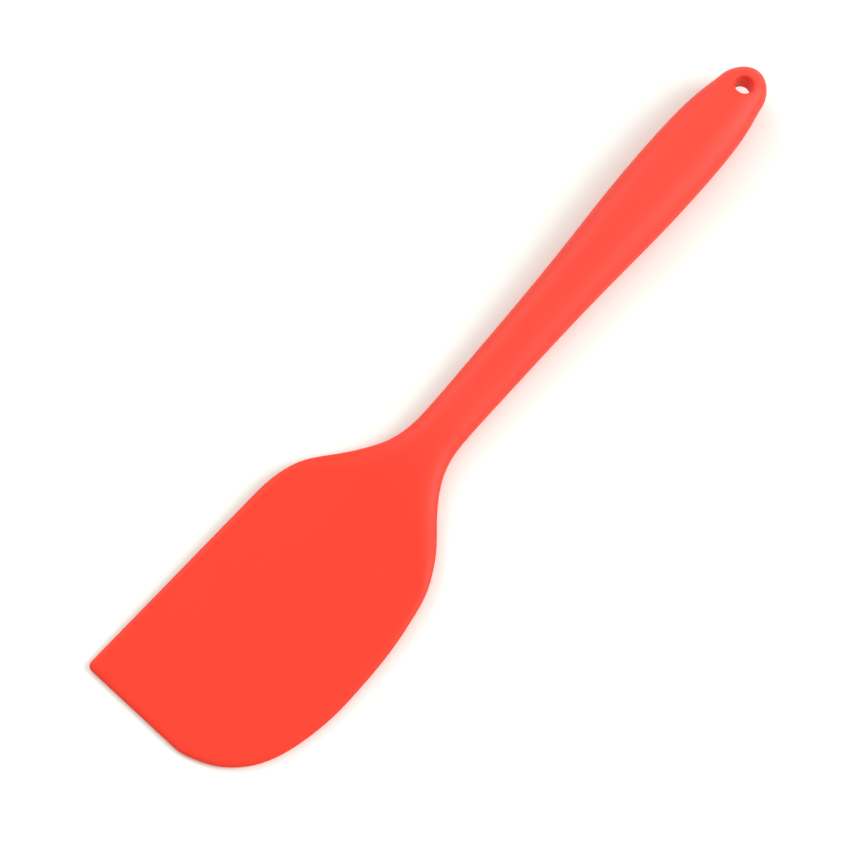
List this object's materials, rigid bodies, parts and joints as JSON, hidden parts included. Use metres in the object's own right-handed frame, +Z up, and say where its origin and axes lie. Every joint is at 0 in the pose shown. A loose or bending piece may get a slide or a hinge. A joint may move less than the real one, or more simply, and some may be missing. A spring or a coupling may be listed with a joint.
{
  "type": "silicone spatula",
  "caption": "One-piece bowl spatula with a broad tapering blade, one straight and one rounded side, a slim neck and an oval handle with a hanging hole.",
  "frame": {"origin": "centre of the bounding box in X and Y, on the ground that the tool lies on", "axes": "+X along the tool from the end of the handle to the tip of the blade, +Y towards the rounded side of the blade, +Z up, square to the ground that the tool lies on"},
  "size_m": [0.28, 0.0658, 0.0148],
  "materials": {
    "silicone": "matte",
    "nylon": "matte"
  },
  "bodies": {
    "root": {"silicone_body": "silicone", "handle_core": "nylon"}
  },
  "joints": []
}
